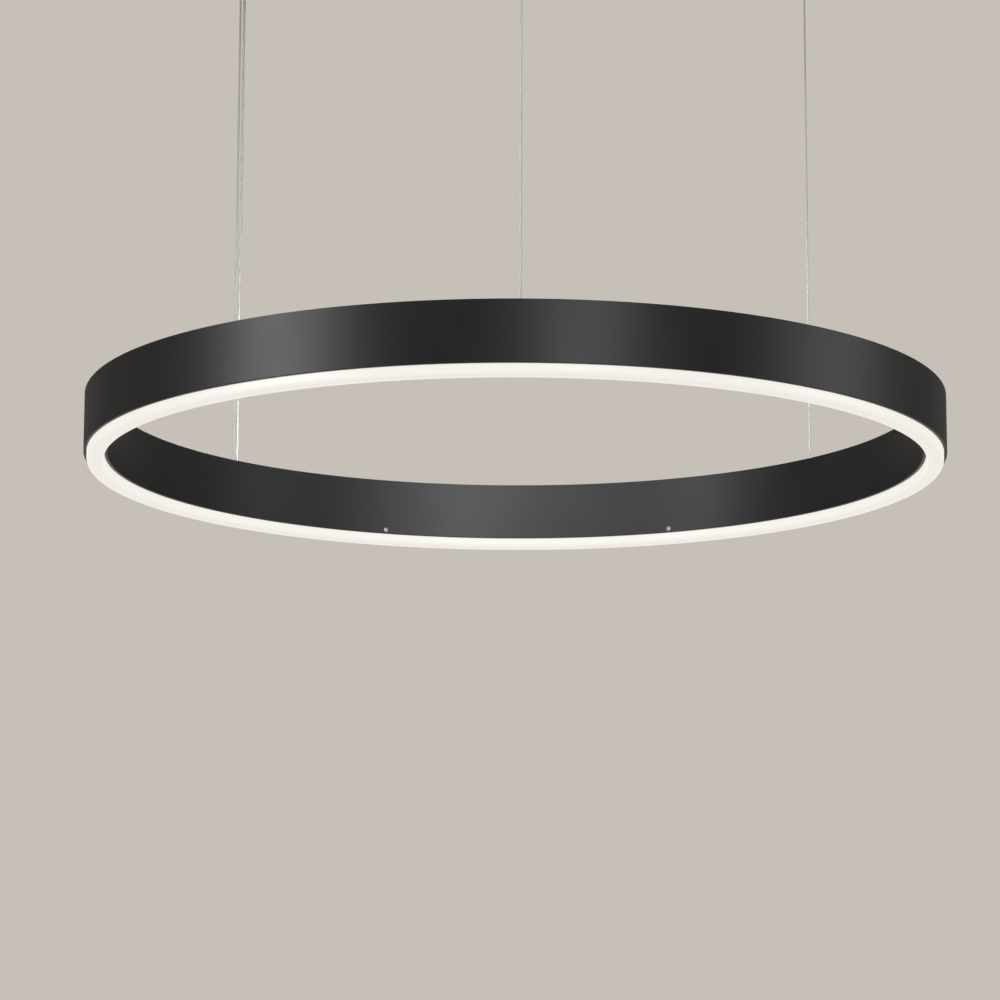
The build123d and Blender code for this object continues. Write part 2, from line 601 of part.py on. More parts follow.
# ================================================================== the powered canopy
x, y = spot(ANCHORS[POWERED])
canopy_centre = upright(x, y, 0)
with BuildPart() as canopy_base:
    base_radius = CANOPY_RADIUS - CANOPY_WALL - PAN_CLEARANCE
    with BuildSketch(canopy_centre):
        with BuildLine():
            Polyline(
                (STUD_HOLE_RADIUS, 0),
                (base_radius, 0),
                (base_radius, -PAN_RIM),
                (base_radius - CANOPY_WALL, -PAN_RIM),
                (base_radius - CANOPY_WALL, -CANOPY_WALL),
                (STUD_HOLE_RADIUS, -CANOPY_WALL),
                close=True,
            )
        make_face()
    revolve(axis=upright_axis(canopy_centre))
    with BuildSketch(Plane.XY.offset(-CANOPY_WALL)):
        with Locations((x + CANOPY_HOLE_SPACING / 2, y), (x - CANOPY_HOLE_SPACING / 2, y)):
            Circle(FIXING_HOLE_RADIUS)
        with Locations((x, y + MAINS_HOLE_OFFSET)):
            Circle(MAINS_HOLE_RADIUS)
    extrude(amount=CANOPY_WALL, mode=Mode.SUBTRACT)
canopy_base.part.label = "canopy_base"
export_step(canopy_base.part, "parts/canopy_base.step")

with BuildPart() as canopy_standoff:
    with BuildSketch(Plane.XY.offset(-CANOPY_WALL - STANDOFF_LENGTH)):
        with Locations((x, y)):
            RegularPolygon(GRIPPER_RADIUS, 6)
            Circle(STANDOFF_BORE, mode=Mode.SUBTRACT)
    extrude(amount=STANDOFF_LENGTH)
    with BuildSketch(Plane.XY.offset(-CANOPY_WALL)):
        with Locations((x, y)):
            Circle(STUD_HOLE_RADIUS - PLAY)
            Circle(STANDOFF_BORE, mode=Mode.SUBTRACT)
    extrude(amount=CANOPY_WALL - GAP)
    with BuildSketch(Plane.XY.offset(-CANOPY_WALL - STANDOFF_LENGTH)):
        with Locations((x, y)):
            Circle(STUD_HOLE_RADIUS - PLAY)
    extrude(amount=STUD_SOCKET_DEPTH, mode=Mode.SUBTRACT)
canopy_standoff.part.label = "canopy_standoff"
export_step(canopy_standoff.part, "parts/canopy_standoff.step")

with BuildPart() as canopy_cover:
    inner = CANOPY_RADIUS - CANOPY_WALL
    edge = CANOPY_EDGE
    with BuildSketch(canopy_centre):
        with BuildLine():
            Polyline(
                (inner, -COVER_CLEARANCE),
                (CANOPY_RADIUS, -COVER_CLEARANCE),
                (CANOPY_RADIUS, edge - CANOPY_HEIGHT),
            )
            RadiusArc((CANOPY_RADIUS, edge - CANOPY_HEIGHT), (CANOPY_RADIUS - edge, -CANOPY_HEIGHT), edge)
            Polyline(
                (CANOPY_RADIUS - edge, -CANOPY_HEIGHT),
                (GRIPPER_RADIUS + COVER_CLEARANCE, -CANOPY_HEIGHT),
                (GRIPPER_RADIUS + COVER_CLEARANCE, CANOPY_WALL - CANOPY_HEIGHT),
                (CANOPY_RADIUS - edge, CANOPY_WALL - CANOPY_HEIGHT),
            )
            RadiusArc(
                (CANOPY_RADIUS - edge, CANOPY_WALL - CANOPY_HEIGHT),
                (inner, edge - CANOPY_HEIGHT),
                CANOPY_WALL - edge,
            )
            Line((inner, edge - CANOPY_HEIGHT), (inner, -COVER_CLEARANCE))
        make_face()
    revolve(axis=upright_axis(canopy_centre))
    with BuildSketch(Plane.XY.offset(-CANOPY_HEIGHT)):
        with Locations(CORD_SPOT):
            Circle(CORD_HOLE_RADIUS)
    extrude(amount=CANOPY_WALL, mode=Mode.SUBTRACT)
    for turn in SIDE_SCREW_AZIMUTHS:
        outward = (*spot(turn, 1), 0)
        start = (x + inner * outward[0], y + inner * outward[1], SIDE_SCREW_HEIGHT)
        with BuildSketch(Plane(origin=start, z_dir=outward).offset(-1)):
            Circle(SIDE_SCREW_RADIUS + PLAY)
        extrude(amount=CANOPY_WALL + 2, mode=Mode.SUBTRACT)
canopy_cover.part.label = "canopy_cover"
export_step(canopy_cover.part, "parts/canopy_cover.step")

with BuildPart() as canopy_screws:
    for turn in SIDE_SCREW_AZIMUTHS:
        outward = (*spot(turn, 1), 0)
        start = (x + inner * outward[0], y + inner * outward[1], SIDE_SCREW_HEIGHT)
        skin = Plane(origin=start, z_dir=outward).offset(CANOPY_WALL)
        with BuildSketch(skin.offset(-CANOPY_WALL)):
            Circle(SIDE_SCREW_RADIUS)
        extrude(amount=CANOPY_WALL)
        with BuildSketch(skin):
            Circle(SIDE_SCREW_HEAD[0])
        extrude(amount=SIDE_SCREW_HEAD[1])
        with BuildSketch(skin.offset(SIDE_SCREW_HEAD[1])):
            RegularPolygon(SIDE_SCREW_SOCKET[0], 6)
        extrude(amount=-SIDE_SCREW_SOCKET[1], mode=Mode.SUBTRACT)
canopy_screws.part.label = "canopy_screws"
export_step(canopy_screws.part, "parts/canopy_screws.step")

with BuildPart() as canopy_grommet:
    grommet_plane = upright(*CORD_SPOT, -CANOPY_HEIGHT)
    with BuildSketch(grommet_plane):
        with BuildLine():
            Polyline(
                (CORD_RADIUS + GAP, -GROMMET_COLLAR),
                (CORD_HOLE_RADIUS + 0.3, -GROMMET_COLLAR),
                (CORD_HOLE_RADIUS + 0.5, 0),
                (CORD_HOLE_RADIUS, 0),
                (CORD_HOLE_RADIUS, CANOPY_WALL),
                (CORD_HOLE_RADIUS + 0.5, CANOPY_WALL),
                (CORD_HOLE_RADIUS + 0.3, CANOPY_WALL + 1),
                (CORD_RADIUS + GAP, CANOPY_WALL + 1),
                close=True,
            )
        make_face()
    revolve(axis=upright_axis(grommet_plane))
canopy_grommet.part.label = "canopy_grommet"
export_step(canopy_grommet.part, "parts/canopy_grommet.step")

with BuildPart() as driver:
    with BuildSketch(Plane.XY.offset(-CANOPY_WALL)):
        with Locations((x + DRIVER_OFFSET[0], y + DRIVER_OFFSET[1])):
            RectangleRounded(DRIVER_SIZE[0] - 2 * DRIVER_TAB[0], DRIVER_SIZE[1], 3)
    extrude(amount=-DRIVER_SIZE[2])
    chamfer(driver.edges().group_by(Axis.Z)[0], 1)
    tab_spots = [(side * (DRIVER_SIZE[0] - DRIVER_TAB[0]) / 2, 0) for side in (-1, 1)]
    with BuildSketch(Plane.XY.offset(-CANOPY_WALL)):
        with Locations((x + DRIVER_OFFSET[0], y + DRIVER_OFFSET[1])):
            RectangleRounded(DRIVER_SIZE[0], DRIVER_TAB[1], 4)
            with Locations(*tab_spots):
                Circle(DRIVER_TAB_HOLE, mode=Mode.SUBTRACT)
    extrude(amount=-DRIVER_TAB[2])
driver.part.label = "driver"
export_step(driver.part, "parts/driver.step")

with BuildPart() as driver_screws:
    with BuildSketch(Plane.XY.offset(-CANOPY_WALL - DRIVER_TAB[2])):
        with Locations((x + DRIVER_OFFSET[0], y + DRIVER_OFFSET[1])):
            with Locations(*tab_spots):
                Circle(DRIVER_SCREW_HEAD[0])
    extrude(amount=-DRIVER_SCREW_HEAD[1])
    with BuildSketch(Plane.XY.offset(-CANOPY_WALL - DRIVER_TAB[2])):
        with Locations((x + DRIVER_OFFSET[0], y + DRIVER_OFFSET[1])):
            with Locations(*tab_spots):
                Circle(DRIVER_TAB_HOLE - 2 * PLAY)
    extrude(amount=DRIVER_TAB[2])
driver_screws.part.label = "driver_screws"
export_step(driver_screws.part, "parts/driver_screws.step")

# The driver's supply and output leads, from its side to the terminal's, past the standoff.
case_side = DRIVER_OFFSET[1] + DRIVER_SIZE[1] / 2
terminal_side = TERMINAL_OFFSET[1] - TERMINAL_SIZE[1] / 2
LEADS = ((-24, -5.5), (24, 10.5))       # X at the driver and at the terminal
LEAD_DEPTHS = (-13.5, -16.5, -8.5)      # Z at the driver, half way and at the terminal
LEAD_BULGE = 0.9                        # X half way, as a share of that at the driver
with BuildPart() as driver_leads:
    for start_x, end_x in LEADS:
        start = (x + start_x, y + case_side, LEAD_DEPTHS[0])
        middle = (x + start_x * LEAD_BULGE, y + (case_side + terminal_side) / 2, LEAD_DEPTHS[1])
        end = (x + end_x, y + terminal_side, LEAD_DEPTHS[2])
        with BuildLine() as lead:
            Spline(start, middle, end, tangents=[(0, 1, 0), (0, 1, 0)])
        with BuildSketch(Plane(origin=start, z_dir=(0, 1, 0))):
            Circle(LEAD_RADIUS)
        sweep(path=lead.line)
driver_leads.part.label = "driver_leads"
export_step(driver_leads.part, "parts/driver_leads.step")

with BuildPart() as canopy_terminal:
    length, depth, height = TERMINAL_SIZE
    with BuildSketch(Plane.XY.offset(-CANOPY_WALL)):
        with Locations((x + TERMINAL_OFFSET[0], y + TERMINAL_OFFSET[1])):
            RectangleRounded(length, depth, 1)
    extrude(amount=-height)
    with BuildSketch(Plane.XY.offset(TERMINAL_UNDER)):
        with Locations((x + TERMINAL_OFFSET[0], y + TERMINAL_OFFSET[1] + 3)):
            with GridLocations(TERMINAL_SCREWS[2], 1, 3, 1):
                Circle(TERMINAL_SCREWS[0])
    extrude(amount=TERMINAL_SCREWS[1], mode=Mode.SUBTRACT)
canopy_terminal.part.label = "canopy_terminal"
export_step(canopy_terminal.part, "parts/canopy_terminal.step")
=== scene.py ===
# %% [markdown]
# # A ring pendant light
# The real lamp is a rolled black aluminium ring with a glowing band below it. Three thin steel cables
# carry it, and a clear cord beside one of them feeds it. The CAD model already holds every part at its
# real size and place, so this script loads it as a fixed frame, gives each part its finish, and builds
# anew only what CAD leaves plain: stranded cables, the cord, screws, springs, grips and the light band.

import json
import math

import bpy
from mathutils import Matrix, Vector


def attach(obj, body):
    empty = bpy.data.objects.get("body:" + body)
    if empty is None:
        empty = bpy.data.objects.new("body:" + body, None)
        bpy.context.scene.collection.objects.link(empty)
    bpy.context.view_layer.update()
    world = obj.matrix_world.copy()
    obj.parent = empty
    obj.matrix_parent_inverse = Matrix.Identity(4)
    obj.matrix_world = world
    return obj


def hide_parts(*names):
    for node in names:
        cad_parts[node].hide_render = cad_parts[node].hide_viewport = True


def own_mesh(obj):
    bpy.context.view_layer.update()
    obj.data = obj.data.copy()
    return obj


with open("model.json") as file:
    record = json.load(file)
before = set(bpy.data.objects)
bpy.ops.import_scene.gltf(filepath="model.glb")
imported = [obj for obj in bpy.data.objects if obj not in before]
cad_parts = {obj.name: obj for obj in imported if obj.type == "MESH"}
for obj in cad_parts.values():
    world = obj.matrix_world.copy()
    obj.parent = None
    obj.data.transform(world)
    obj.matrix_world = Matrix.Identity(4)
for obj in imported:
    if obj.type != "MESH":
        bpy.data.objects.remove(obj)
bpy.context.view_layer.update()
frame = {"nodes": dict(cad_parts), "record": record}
nodes = frame["nodes"]

# %% [markdown]
# The sizes below are the CAD model's own, in metres, so that a new piece lands where the part is.
# The origin is on the ceiling, on the ring's axis, and everything hangs below it.

# %% The lamp's main sizes
MM = 0.001
MID_RADIUS = 389 * MM
RING_BOTTOM = -625 * MM
INNER_RADIUS = 378 * MM
ANCHORS = {"front": -89.35, "right": 41.1, "left": 136.3}
GRIPPER_TOPS = {"front": -7.5 * MM, "right": -7.5 * MM, "left": -29.5 * MM}


def spot(azimuth, radius=MID_RADIUS, height=0.0):
    """The point at that azimuth in degrees, radius and height."""
    turn = math.radians(azimuth)
    return Vector((radius * math.cos(turn), radius * math.sin(turn), height))


# %% [markdown]
# ## The camera
# The photograph looks up at the ring from about twelve degrees below it, through a long lens, so the
# near and the far side look almost equally large. The numbers come from fitting the ring's edges.

# %% Place the camera
SENSOR_WIDTH, LENS = 36, 147.6  # in millimetres, as Blender's cameras count them
LOOK_DISTANCE = 3.8166
LOOK_FROM_BELOW = math.radians(11.953)
PITCH = math.radians(11.412)
PAN = math.radians(0.2141)
ROLL = 0.0029

camera_data = bpy.data.cameras.new("photo_camera")
camera_data.sensor_width = SENSOR_WIDTH
camera_data.lens = LENS
camera = bpy.data.objects.new("photo_camera", camera_data)
bpy.context.scene.collection.objects.link(camera)
camera_place = Vector(
    (0, -LOOK_DISTANCE * math.cos(LOOK_FROM_BELOW), RING_BOTTOM - LOOK_DISTANCE * math.sin(LOOK_FROM_BELOW))
)
camera.matrix_world = (
    Matrix.Translation(camera_place)
    @ Matrix.Rotation(PAN, 4, "Z")
    @ Matrix.Rotation(math.pi / 2 + PITCH, 4, "X")
    @ Matrix.Rotation(ROLL, 4, "Z")
)
bpy.context.scene.camera = camera
print("camera at", tuple(round(value, 3) for value in camera_place))

# %% [markdown]
# ## Helpers for node trees
# Shaders and Geometry Nodes are both trees of nodes. One small function adds a node, sets its options
# and fills or links its inputs, and the trees below read like lists of steps.

# %% Node helpers
def add(tree, kind, settings=None, inputs=None):
    """Adds one node. An input's value is a number, a tuple or another node's output socket."""
    node = tree.nodes.new(kind)
    for name, value in (settings or {}).items():
        setattr(node, name, value)
    for name, value in (inputs or {}).items():
        socket = node.inputs[name]
        if isinstance(value, bpy.types.NodeSocket):
            tree.links.new(value, socket)
        else:
            socket.default_value = value
    return node


def hex_colour(code):
    """An sRGB colour such as "#1E1F21" as the linear RGBA that shaders use."""
    channels = [int(code[start : start + 2], 16) / 255 for start in (1, 3, 5)]
    linear = [c / 12.92 if c <= 0.04045 else ((c + 0.055) / 1.055) ** 2.4 for c in channels]
    return (*linear, 1)


# %% [markdown]
# ## Finishes
# Real surfaces are never one flat colour. Each finish below starts from how the surface was made. One
# noise at the size of the real grain, and a much wider one for handling and dust, vary its colour, its
# gloss and its relief together. Stretching the noise turns grains into the lines that a die or a brush
# leaves, and reading it by the distance from an axis gives the rings that a lathe leaves.

# %% A finish that follows its own grain
PATCH = 70 * MM  # the width of the faint clouds that handling and dust leave
PATCH_SHARE = 0.35  # how much of the variation the clouds make, against the grain
NOISE_LOW, NOISE_HIGH = 0.35, 0.65  # nearly all of a noise lies between these


def grained(name, colours, roughness, grain_mm, relief_mm, metallic=0.0, stretch=(1, 1, 1), turned_at=None):
    """colours and roughness are pairs: in the grain's hollows, and on its tops."""
    material = bpy.data.materials.new(name)
    material.use_nodes = True
    tree = material.node_tree
    shader = tree.nodes["Principled BSDF"]
    shader.inputs["Metallic"].default_value = metallic
    place = add(tree, "ShaderNodeTexCoord").outputs["Object"]
    centre = Vector(turned_at or (0, 0, 0))
    grain_place = add(
        tree,
        "ShaderNodeMapping",
        inputs={"Vector": place, "Location": -centre, "Scale": (1, 1, 0) if turned_at else stretch},
    ).outputs["Vector"]
    if turned_at:
        from_axis = add(tree, "ShaderNodeVectorMath", {"operation": "LENGTH"}, {0: grain_place})
        grain_place = add(tree, "ShaderNodeCombineXYZ", inputs={"X": from_axis.outputs["Value"]}).outputs[0]
    grain = add(
        tree,
        "ShaderNodeTexNoise",
        inputs={"Vector": grain_place, "Scale": 1 / (grain_mm * MM), "Detail": 3.0},
    )
    patch = add(tree, "ShaderNodeTexNoise", inputs={"Vector": place, "Scale": 1 / PATCH, "Detail": 2.0})
    blend = add(
        tree, "ShaderNodeMix", inputs={0: PATCH_SHARE, 2: grain.outputs["Fac"], 3: patch.outputs["Fac"]}
    )
    spread = add(
        tree, "ShaderNodeMapRange", inputs={"Value": blend.outputs[0], 1: NOISE_LOW, 2: NOISE_HIGH}
    )
    colour = add(
        tree,
        "ShaderNodeMix",
        {"data_type": "RGBA"},
        {0: spread.outputs["Result"], 6: hex_colour(colours[0]), 7: hex_colour(colours[1])},
    )
    tree.links.new(colour.outputs[2], shader.inputs["Base Color"])
    gloss = add(
        tree,
        "ShaderNodeMapRange",
        inputs={"Value": spread.outputs["Result"], 3: roughness[0], 4: roughness[1]},
    )
    tree.links.new(gloss.outputs["Result"], shader.inputs["Roughness"])
    bump = add(
        tree,
        "ShaderNodeBump",
        inputs={"Height": grain.outputs["Fac"], "Distance": relief_mm * MM, "Strength": 1.0},
    )
    tree.links.new(bump.outputs["Normal"], shader.inputs["Normal"])
    return material


# %% [markdown]
# The ring is extruded aluminium, rolled to a circle, bead-blasted and anodised black. The oxide layer is
# a hard, clear, dyed ceramic: the eye gets a satin black with broad, soft highlights. The canopy and the
# cups are steel with a powder coat, which melts into a slight orange peel.

# %% The black finishes
SHEEN_OF_BLACK = 0.22  # a porous oxide or powder reflects less than a polished plastic
anodised = grained(
    "satin_black_anodised_aluminium", ("#0F0F10", "#151516"), (0.37, 0.43), 0.8, 0.004, stretch=(1, 1, 2)
)
powder_coat = grained(
    "black_powder_coated_steel", ("#0F0F10", "#171718"), (0.42, 0.5), 1.1, 0.03
)
for material in (anodised, powder_coat):
    material.node_tree.nodes["Principled BSDF"].inputs["Specular IOR Level"].default_value = SHEEN_OF_BLACK

# %% [markdown]
# The bare metals: the cables and springs are drawn stainless wire. So many fine, rounded wires scatter
# the light that the eye sees a soft grey line rather than a mirror, so this finish is rough and only
# partly metallic. The grippers and nipples are brass with bright nickel, which is a little yellow. Screws
# and brackets are steel with blue zinc, which dries in faint clouds. The diffuser's small screws get a
# darker, greyer, rougher copy of that zinc: painted shade, which dims the glint on their domed heads. The
# two ceiling pucks are bare aluminium from a lathe, so each has its own rings round its own axis.

# %% The bare metals
stainless = grained("drawn_stainless_wire", ("#ACADAB", "#C8C9C7"), (0.5, 0.62), 0.5, 0.004, metallic=0.7)
nickel = grained("bright_nickel_on_brass", ("#BDB8AD", "#CFCBC1"), (0.14, 0.22), 3, 0.002, metallic=1)
tinned = grained("tinned_copper_wire", ("#D2D3D0", "#E2E3E0"), (0.25, 0.35), 0.5, 0.003, metallic=1)
zinc = grained("blue_zinc_plated_steel", ("#8F9399", "#A6A9AC"), (0.3, 0.45), 2.5, 0.006, metallic=1)
# A darker copy of the zinc for the diffuser's screw heads: its darkness is painted shade that dims their
# glint.
zinc_painted_darker = grained("zinc_screw_heads_painted_darker", ("#868683", "#A0A09C"), (0.5, 0.6), 0.8, 0.006, metallic=1)
turned = {
    side: grained(
        f"turned_bare_aluminium_{side}",
        ("#B4B5B6", "#CFCFD0"),
        (0.3, 0.42),
        0.6,
        0.008,
        metallic=1,
        turned_at=tuple(spot(ANCHORS[side])),
    )
    for side in ("front", "right")
}

# %% [markdown]
# The plastics and rubber: the driver's case and the terminals are moulded white plastic with a fine spark
# texture, the LED tape is a white solder mask, its chips are covered with yellow phosphor, and the
# grommets and leads are soft black.

# %% The plastics
white_plastic = grained("moulded_white_plastic", ("#DEDCD6", "#E8E6E1"), (0.42, 0.52), 0.6, 0.01)
solder_mask = grained("white_solder_mask", ("#E4E4E0", "#EEEEEA"), (0.3, 0.36), 1.5, 0.003)
phosphor = grained("yellow_led_phosphor", ("#E2B84A", "#EBC763"), (0.3, 0.4), 0.6, 0.005)
black_rubber = grained("moulded_black_rubber", ("#141414", "#1B1B1B"), (0.55, 0.7), 0.5, 0.01)

# %% [markdown]
# The feed cord's sheath is clear PVC. Light goes through it and bends, so it gets transmission and the
# plastic's index of 1.53, and the two tinned cores inside it stay visible.

# %% The clear sheath
clear_pvc = grained("clear_pvc_sheath", ("#DCDEDB", "#E6E8E5"), (0.12, 0.2), 6, 0.002)
clear_shader = clear_pvc.node_tree.nodes["Principled BSDF"]
PVC_INDEX = 1.53
CLEARNESS = 0.75
clear_shader.inputs["IOR"].default_value = PVC_INDEX
clear_shader.inputs["Transmission Weight"].default_value = CLEARNESS

# %% [markdown]
# The diffuser is opal acrylic, lit from behind by the LED tape. It scatters the light so well that no
# single LED shows, and it is brightest along its two edges, where its legs lead the light down. The glow
# is emission. The reflecting colour is kept low, because a surface that glows shows little of its own.

# %% The lit opal diffuser
BAND_HALF_WIDTH = 8 * MM
BRIGHTER_FROM = 0.55  # where the brighter edge starts, as a share of the half width
GLOW_MIDDLE, GLOW_EDGE, GLOW = "#E6E2DC", "#ECE9E2", 0.98
opal = grained("lit_opal_acrylic", ("#454442", "#494846"), (0.34, 0.4), 1.2, 0.003)
opal_tree = opal.node_tree
opal_shader = opal_tree.nodes["Principled BSDF"]
opal_place = add(opal_tree, "ShaderNodeTexCoord")
flat_place = add(
    opal_tree,
    "ShaderNodeVectorMath",
    {"operation": "MULTIPLY"},
    {0: opal_place.outputs["Object"], 1: (1, 1, 0)},
)
from_axis = add(opal_tree, "ShaderNodeVectorMath", {"operation": "LENGTH"}, {0: flat_place.outputs["Vector"]})
off_middle = add(
    opal_tree, "ShaderNodeMath", {"operation": "SUBTRACT"}, {0: from_axis.outputs["Value"], 1: MID_RADIUS}
)
off_middle = add(opal_tree, "ShaderNodeMath", {"operation": "ABSOLUTE"}, {0: off_middle.outputs["Value"]})
to_edge = add(
    opal_tree,
    "ShaderNodeMapRange",
    {"interpolation_type": "SMOOTHSTEP"},
    {"Value": off_middle.outputs["Value"], 1: BRIGHTER_FROM * BAND_HALF_WIDTH, 2: BAND_HALF_WIDTH},
)
glow = add(
    opal_tree,
    "ShaderNodeMix",
    {"data_type": "RGBA"},
    {0: to_edge.outputs["Result"], 6: hex_colour(GLOW_MIDDLE), 7: hex_colour(GLOW_EDGE)},
)
opal_tree.links.new(glow.outputs[2], opal_shader.inputs["Emission Color"])
opal_shader.inputs["Emission Strength"].default_value = GLOW
opal_shader.inputs["Specular IOR Level"].default_value = 0.2

# %% [markdown]
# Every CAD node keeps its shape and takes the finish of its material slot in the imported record.

# %% Give the CAD nodes their finishes
FINISHES = {
    "black_aluminium": anodised,
    "black_steel": powder_coat,
    "opal": opal,
    "stainless": stainless,
    "nickel": nickel,
    "zinc_steel": zinc,
    "raw_aluminium": turned["front"],
    "circuit_white": solder_mask,
    "phosphor": phosphor,
    "clear_cord": clear_pvc,
    "black_rubber": black_rubber,
    "white_plastic": white_plastic,
}
slot_of = {part["node"]: part["material_slot"] for part in frame["record"]["subparts"]}
for name, node in nodes.items():
    for material_slot in node.material_slots:
        material_slot.material = FINISHES[slot_of[name]]
nodes["ceiling_puck_right"].material_slots[0].material = turned["right"]
print("finished", len(slot_of), "nodes with", len(set(slot_of.values())), "finishes")

# %% [markdown]
# ## Geometry Nodes helpers
# What repeats or follows a path is grown by Geometry Nodes from a few points or a curve. The modifier's
# result is then copied to a plain mesh, because the exporter and the joints work on plain meshes.

# %% Build and apply Geometry Nodes trees
def new_tree(name, **inputs):
    """A tree with a geometry in and out. Each other input is its socket type and its first value."""
    tree = bpy.data.node_groups.new(name, "GeometryNodeTree")
    tree.interface.new_socket("Geometry", in_out="INPUT", socket_type="NodeSocketGeometry")
    for label, (kind, value) in inputs.items():
        socket = tree.interface.new_socket(label, in_out="INPUT", socket_type="NodeSocket" + kind)
        if value is not None:
            socket.default_value = value
    tree.interface.new_socket("Geometry", in_out="OUTPUT", socket_type="NodeSocketGeometry")
    return tree, tree.nodes.new("NodeGroupInput").outputs


def close_tree(tree, geometry, material):
    """Ends the tree in real geometry with its finish, which is what the exporter keeps."""
    real = add(tree, "GeometryNodeRealizeInstances", inputs={"Geometry": geometry})
    finished = add(
        tree, "GeometryNodeSetMaterial", inputs={"Geometry": real.outputs["Geometry"], "Material": material}
    )
    output = tree.nodes.new("NodeGroupOutput")
    tree.links.new(finished.outputs["Geometry"], output.inputs["Geometry"])


def link_object(name, data):
    made = bpy.data.objects.new(name, data)
    bpy.context.scene.collection.objects.link(made)
    return made


def grow(name, start, tree, smooth_below=40, **values):
    """Runs the tree on the start object and returns the result as a plain mesh object."""
    modifier = start.modifiers.new("grow", "NODES")
    modifier.node_group = tree
    for item in tree.interface.items_tree:
        if item.in_out == "INPUT" and item.name in values:
            modifier[item.identifier] = values[item.name]
    evaluated = start.evaluated_get(bpy.context.evaluated_depsgraph_get())
    mesh = bpy.data.meshes.new_from_object(evaluated)
    start.modifiers.remove(modifier)
    bpy.data.objects.remove(start)
    mesh.name = name
    mesh.shade_smooth()
    mesh.set_sharp_from_angle(angle=math.radians(smooth_below))
    print(name, len(mesh.polygons), "faces")
    return link_object(name, mesh)


# %% [markdown]
# ## The suspension cables
# Each cable is a stainless rope of 2 mm. Its outer layer is twelve wires laid round a core, which makes a
# round, smooth rope. It is pulled straight by the ring's weight. A smooth route runs from the ring to the
# ceiling, and the tree sweeps a flower of circles along it, turning it once every 20 mm, the rope's lay.

# %% The tree that lays strands along a route
STRAND_SIDES, CORE_SIDES = 7, 8  # enough for wires this fine

strands_tree, made = new_tree(
    "laid_strands",
    Strands=("Int", 12),
    StrandRadius=("Float", 0.21 * MM),
    CircleRadius=("Float", 0.79 * MM),
    CoreRadius=("Float", 0.64 * MM),
    Lay=("Float", 20 * MM),
    Step=("Float", 1.4 * MM),
    Finish=("Material", None),
)
steps = add(
    strands_tree,
    "GeometryNodeResampleCurve",
    {"mode": "LENGTH"},
    {"Curve": made["Geometry"], "Length": made["Step"]},
)
along = add(strands_tree, "GeometryNodeSplineParameter")
turns = add(
    strands_tree, "ShaderNodeMath", {"operation": "DIVIDE"}, {0: along.outputs["Length"], 1: made["Lay"]}
)
twist = add(
    strands_tree, "ShaderNodeMath", {"operation": "MULTIPLY"}, {0: turns.outputs["Value"], 1: math.tau}
)
twisted = add(
    strands_tree,
    "GeometryNodeSetCurveTilt",
    inputs={"Curve": steps.outputs["Curve"], "Tilt": twist.outputs["Value"]},
)
share = add(
    strands_tree, "ShaderNodeMath", {"operation": "DIVIDE"}, {0: math.tau, 1: made["Strands"]}
)
angle = add(
    strands_tree,
    "ShaderNodeMath",
    {"operation": "MULTIPLY"},
    {0: add(strands_tree, "GeometryNodeInputIndex").outputs["Index"], 1: share.outputs["Value"]},
)
arm = add(strands_tree, "ShaderNodeCombineXYZ", inputs={"X": made["CircleRadius"]})
seat = add(
    strands_tree,
    "ShaderNodeVectorRotate",
    {"rotation_type": "Z_AXIS"},
    {"Vector": arm.outputs["Vector"], "Angle": angle.outputs["Value"]},
)
seats = add(
    strands_tree,
    "GeometryNodePoints",
    inputs={"Count": made["Strands"], "Position": seat.outputs["Vector"]},
)
strand = add(
    strands_tree,
    "GeometryNodeCurvePrimitiveCircle",
    inputs={"Resolution": STRAND_SIDES, "Radius": made["StrandRadius"]},
)
core = add(
    strands_tree,
    "GeometryNodeCurvePrimitiveCircle",
    inputs={"Resolution": CORE_SIDES, "Radius": made["CoreRadius"]},
)
flower = add(
    strands_tree,
    "GeometryNodeInstanceOnPoints",
    inputs={"Points": seats.outputs[0], "Instance": strand.outputs["Curve"]},
)
profile = add(strands_tree, "GeometryNodeJoinGeometry")
strands_tree.links.new(flower.outputs["Instances"], profile.inputs["Geometry"])
strands_tree.links.new(core.outputs["Curve"], profile.inputs["Geometry"])
real_profile = add(
    strands_tree, "GeometryNodeRealizeInstances", inputs={"Geometry": profile.outputs["Geometry"]}
)
rope = add(
    strands_tree,
    "GeometryNodeCurveToMesh",
    inputs={
        "Curve": twisted.outputs["Curve"],
        "Profile Curve": real_profile.outputs["Geometry"],
        "Fill Caps": True,
    },
)
close_tree(strands_tree, rope.outputs["Mesh"], made["Finish"])


# %% A route, and the points along it
def route_curve(name, points):
    """A smooth open NURBS spline with those control points."""
    data = bpy.data.curves.new(name, "CURVE")
    data.dimensions = "3D"
    data.resolution_u = 24
    spline = data.splines.new("NURBS")
    spline.points.add(len(points) - 1)
    for point, place in zip(spline.points, points):
        point.co = (*place, 1)
    spline.order_u = 3
    spline.use_endpoint_u = True
    return link_object(name, data)


def points_along(route):
    mesh = bpy.data.meshes.new_from_object(route)
    return [tuple(vertex.co) for vertex in mesh.vertices]


def straight_up(foot, top):
    """Control points of a taut line."""
    return [tuple(foot), tuple((foot + top) / 2), tuple(top)]


# %% Lay the three cables
CABLE_FOOT, CABLE_TOP = -568.45 * MM, -0.6 * MM
for side, azimuth in ANCHORS.items():
    foot, top = spot(azimuth, height=CABLE_FOOT), spot(azimuth, height=CABLE_TOP)
    route = route_curve(f"cable_route_{side}", straight_up(foot, top))
    path = points_along(route)
    cable = grow(f"cable_{side}", route, strands_tree, smooth_below=60, Finish=stainless)
    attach(cable, "ceiling")
    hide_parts(f"suspension_cable_{side}")
    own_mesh(cable)

# %% [markdown]
# ## Round cords
# A sheathed cord is a plain round tube on its route. A curve's own bevel makes it, with closed ends.

